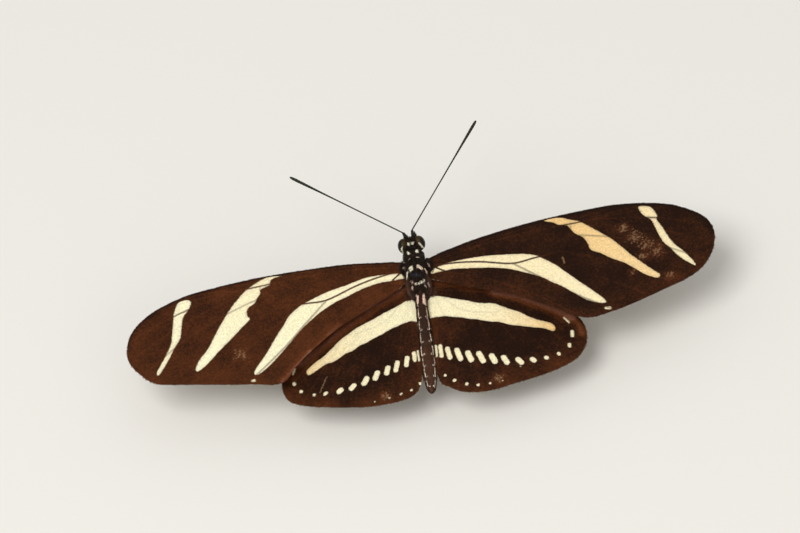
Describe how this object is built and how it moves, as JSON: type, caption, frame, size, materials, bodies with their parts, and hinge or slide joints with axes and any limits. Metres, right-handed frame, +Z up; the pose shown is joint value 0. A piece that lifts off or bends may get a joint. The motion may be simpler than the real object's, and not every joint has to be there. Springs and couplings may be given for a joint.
{
  "type": "zebra longwing butterfly, still life-size model",
  "caption": "Life-size still model of a zebra longwing butterfly standing with its striped wings spread flat.",
  "frame": {"origin": "middle of the footprint of the whole model, at the level of the soles", "axes": "+X to the butterfly's right, across the wings; +Y towards the head; +Z up"},
  "size_m": [0.0842, 0.041, 0.0159],
  "materials": {
    "black_scaled_body": "black-brown body clothed in flat scales and hair, matt",
    "compound_eye": "dark olive-brown compound eye, glossy",
    "feeler_cuticle": "black-green feeler cuticle, satin",
    "leg_cuticle": "dark brown leg cuticle with flat scales, satin",
    "tongue_cuticle": "dark amber tongue cuticle, satin",
    "wing_membrane": "dark brown scaled wing membrane with cream bands, matt with a faint sheen"
  },
  "bodies": {
    "root": {"abdomen": "black_scaled_body", "antenna_left": "feeler_cuticle", "antenna_right": "feeler_cuticle", "eye_left": "compound_eye", "eye_right": "compound_eye", "foreleg_left": "leg_cuticle", "foreleg_right": "leg_cuticle", "forewing_left": "wing_membrane", "forewing_right": "wing_membrane", "head": "black_scaled_body", "hindleg_left": "leg_cuticle", "hindleg_right": "leg_cuticle", "hindwing_left": "wing_membrane", "hindwing_right": "wing_membrane", "midleg_left": "leg_cuticle", "midleg_right": "leg_cuticle", "neck": "black_scaled_body", "palp_left": "black_scaled_body", "palp_right": "black_scaled_body", "proboscis": "tongue_cuticle", "thorax": "black_scaled_body"}
  },
  "joints": []
}
